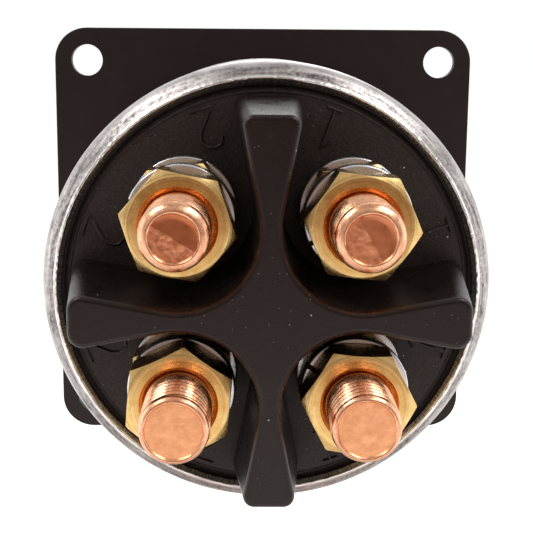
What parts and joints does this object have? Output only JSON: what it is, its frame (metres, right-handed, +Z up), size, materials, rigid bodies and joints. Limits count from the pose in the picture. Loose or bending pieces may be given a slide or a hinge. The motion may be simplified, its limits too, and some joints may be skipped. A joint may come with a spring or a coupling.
{
  "type": "battery switch",
  "caption": "Panel-mounted rotary battery switch: square plate, crimped round can, moulded base with a cross barrier, threaded studs with nuts, front lever.",
  "frame": {"origin": "centre of the mounting plate's rear face, on the switch axis", "axes": "+Z up; +Y along the switch axis out of the front, towards the lever; the terminal studs point along -Y"},
  "size_m": [0.108, 0.1163, 0.108],
  "materials": {
    "black_coat": "satin",
    "plated_steel": "satin",
    "liner_card": "matte",
    "rubber": "matte",
    "black_moulding": "satin",
    "copper": "polished",
    "zinc_steel": "satin",
    "brass": "satin",
    "cast_metal": "gloss"
  },
  "bodies": {
    "housing": {"base_gasket": "rubber", "base_washers": "zinc_steel", "bushing_nut": "brass", "bushing_washer": "zinc_steel", "detent_plate": "zinc_steel", "front_nuts": "brass", "insulating_liner": "liner_card", "lock_washers": "zinc_steel", "mounting_plate": "black_coat", "plate_rivets": "zinc_steel", "rear_nuts": "brass", "shaft_bushing": "brass", "steel_can": "plated_steel", "stop_pin": "zinc_steel", "stud_seals": "rubber", "terminal_base": "black_moulding", "terminal_stud_lower_left": "copper", "terminal_stud_lower_right": "copper", "terminal_stud_upper_left": "copper", "terminal_stud_upper_right": "copper"},
    "rotor": {"drive_shaft": "zinc_steel", "shaft_seal": "rubber", "retaining_clip": "zinc_steel", "thrust_washer": "zinc_steel", "rotor_carrier": "black_moulding", "moving_contact_left": "copper", "moving_contact_right": "copper", "contact_spring_left": "zinc_steel", "contact_spring_right": "zinc_steel", "detent_ball_left": "zinc_steel", "detent_ball_right": "zinc_steel", "detent_spring_left": "zinc_steel", "detent_spring_right": "zinc_steel", "lever_handle": "cast_metal", "handle_washer": "zinc_steel", "handle_screw": "zinc_steel"}
  },
  "joints": [
    {"name": "lever_turn", "type": "hinge", "parent": "housing", "child": "rotor", "pos_m": [0, 0, 0], "axis": [0, -1, 0], "range_deg": [0, 45]}
  ]
}
